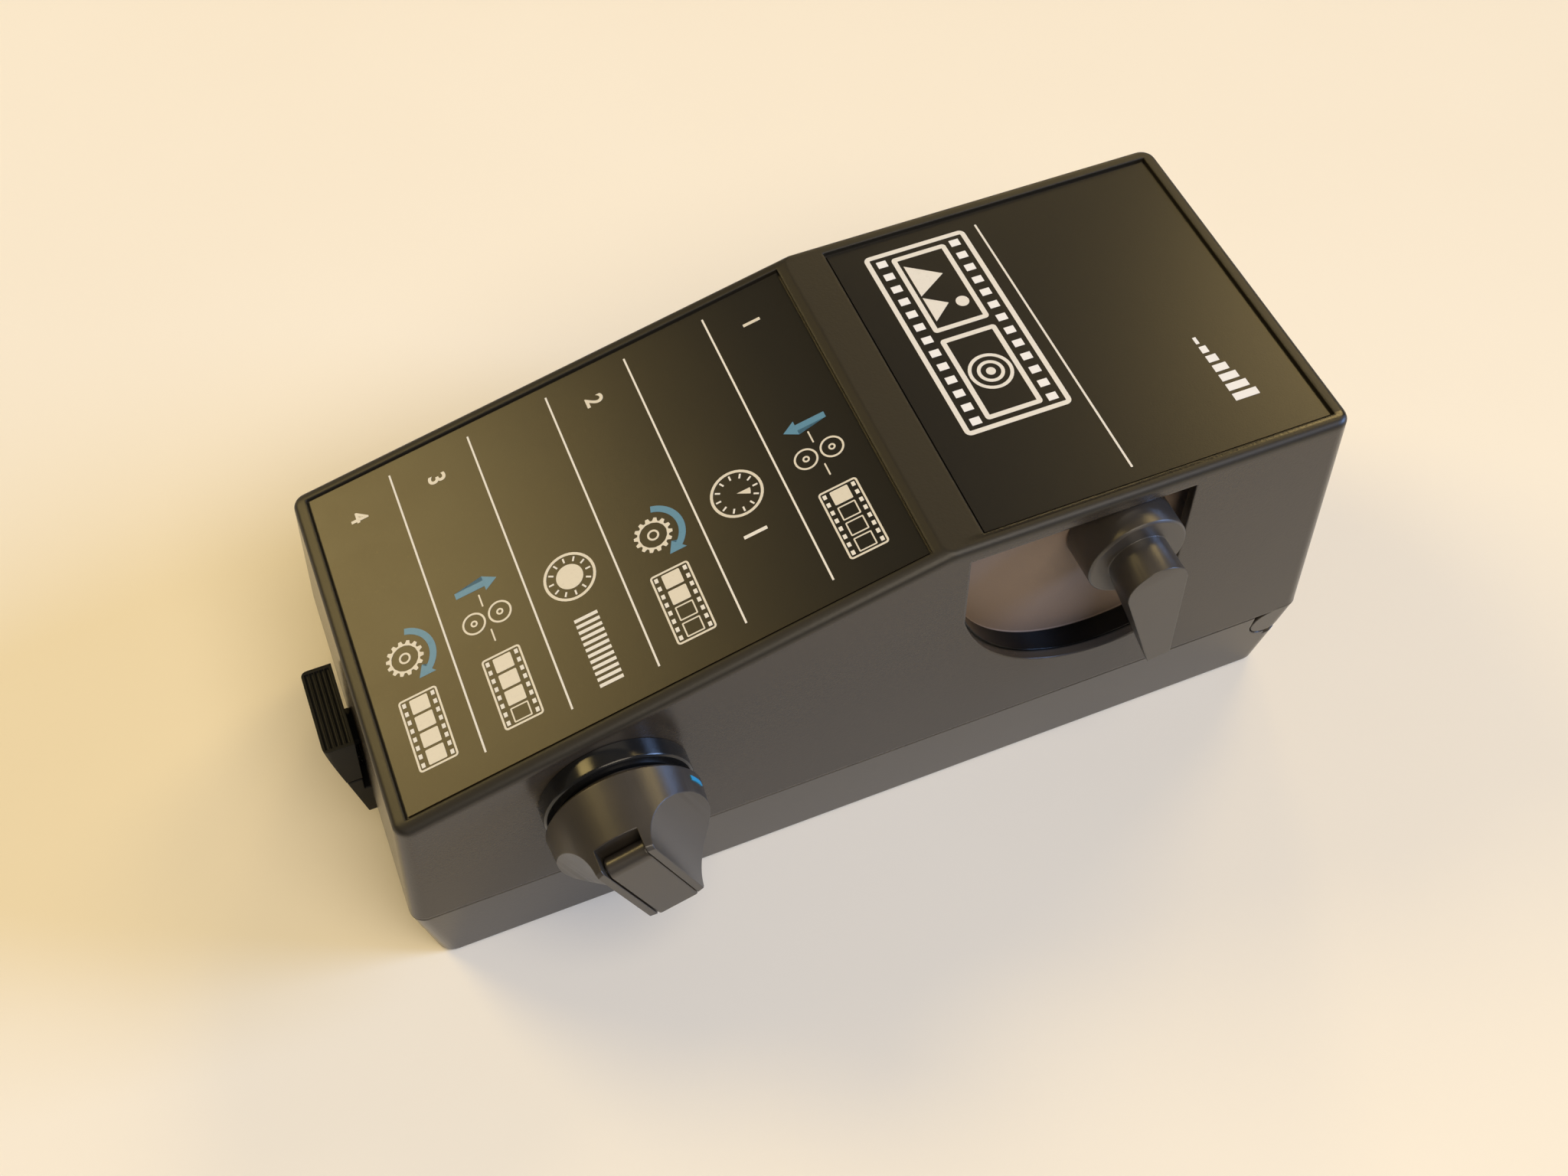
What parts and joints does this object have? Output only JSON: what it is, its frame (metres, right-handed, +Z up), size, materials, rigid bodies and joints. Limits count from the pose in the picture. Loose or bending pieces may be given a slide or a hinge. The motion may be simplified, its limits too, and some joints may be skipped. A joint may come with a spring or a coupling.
{
  "type": "instant slide processor",
  "caption": "Hand-cranked slide processor: wedge-top lid hinged on a base tray, crank knob with fold-out handle, pressure lever in a recess, press latch, inner winding gears.",
  "frame": {"origin": "middle of the flat underside, on the table", "axes": "+X from the low latch end to the tall hinged end, -Y the crank side, +Z up"},
  "size_m": [0.2554, 0.1327, 0.1055],
  "materials": {
    "textured_plastic": "fine moulded texture",
    "label_plate": "satin print",
    "satin_plastic": "satin moulded",
    "gloss_plastic": "gloss moulded",
    "inner_plastic": "moulded",
    "acetal": "natural moulded",
    "steel": "brushed",
    "rubber": "matt",
    "index_blue": "painted insert"
  },
  "bodies": {
    "base": {"base_tray": "textured_plastic", "grip_pads": "rubber", "cassette_cradle": "inner_plastic", "rewind_bush": "acetal", "hinge_pins": "steel", "latch_guard": "gloss_plastic", "latch_pin": "steel", "latch_spring": "steel"},
    "latch": {"latch_button": "gloss_plastic"},
    "lid": {"lid_shell": "textured_plastic", "slope_label": "label_plate", "flat_label": "label_plate", "lever_well": "textured_plastic", "crank_collar": "gloss_plastic", "crank_bush": "acetal", "lever_bush": "acetal", "gear_plate": "steel", "back_plate": "steel", "plate_ties": "steel", "plate_screws": "steel", "idler_axles": "steel", "guide_axle": "steel"},
    "crank": {"crank_knob": "satin_plastic", "crank_index": "index_blue", "crank_shaft": "steel", "crank_gear": "acetal", "handle_pin": "steel"},
    "handle": {"crank_handle": "satin_plastic"},
    "idler": {"idler_gear": "acetal"},
    "rewind_idler": {"rewind_idler_gear": "acetal"},
    "drum": {"take_up_drum": "inner_plastic", "drum_axle": "steel", "drum_gear": "acetal"},
    "guide": {"guide_roller": "rubber"},
    "lever": {"lever_handle": "satin_plastic", "lever_shaft": "steel", "presser_arms": "inner_plastic", "presser_axle": "steel", "shaft_clip": "steel"},
    "presser": {"presser_roller": "rubber"},
    "rewind": {"rewind_gear": "acetal", "rewind_spindle": "steel"}
  },
  "joints": [
    {"name": "lid_hinge", "type": "hinge", "parent": "base", "child": "lid", "pos_m": [0.1163, 0, 0.0238], "axis": [0, 1, 0], "range_deg": [0, 85]},
    {"name": "latch_press", "type": "hinge", "parent": "base", "child": "latch", "pos_m": [-0.12576, 0, 0.0275], "axis": [0, 1, 0], "range_deg": [0, 3.4], "stiffness_Nm_per_rad": 0.1},
    {"name": "crank_turn", "type": "hinge", "parent": "lid", "child": "crank", "pos_m": [-0.0692, 0, 0.0603], "axis": [0, -1, 0], "continuous": true},
    {"name": "handle_fold", "type": "hinge", "parent": "crank", "child": "handle", "pos_m": [-0.07302, -0.07657, 0.07146], "axis": [-0.9461, 0, -0.3239], "range_deg": [0, 180]},
    {"name": "idler_turn", "type": "hinge", "parent": "lid", "child": "idler", "pos_m": [-0.03723, 0, 0.05173], "axis": [0, -1, 0], "continuous": true},
    {"name": "rewind_idler_turn", "type": "hinge", "parent": "lid", "child": "rewind_idler", "pos_m": [-0.08278, 0, 0.0386], "axis": [0, -1, 0], "continuous": true},
    {"name": "drum_turn", "type": "hinge", "parent": "lid", "child": "drum", "pos_m": [0.00036, 0, 0.0625], "axis": [0, -1, 0], "continuous": true},
    {"name": "guide_turn", "type": "hinge", "parent": "lid", "child": "guide", "pos_m": [-0.04923, 0, 0.03923], "axis": [0, -1, 0], "continuous": true},
    {"name": "lever_turn", "type": "hinge", "parent": "lid", "child": "lever", "pos_m": [0.0625, 0, 0.0874], "axis": [0, 1, 0], "range_deg": [0, 100]},
    {"name": "presser_turn", "type": "hinge", "parent": "lever", "child": "presser", "pos_m": [0.0625, 0, 0.0654], "axis": [0, -1, 0], "continuous": true},
    {"name": "rewind_turn", "type": "hinge", "parent": "base", "child": "rewind", "pos_m": [-0.08435, 0, 0.01756], "axis": [0, -1, 0], "continuous": true}
  ],
  "couplings": [
    {"joint": "idler_turn", "follows": "crank_turn", "ratio": -0.83333},
    {"joint": "drum_turn", "follows": "crank_turn", "ratio": 0.71429},
    {"joint": "rewind_idler_turn", "follows": "crank_turn", "ratio": -1.4286},
    {"joint": "rewind_turn", "follows": "crank_turn", "ratio": 1.4286}
  ]
}
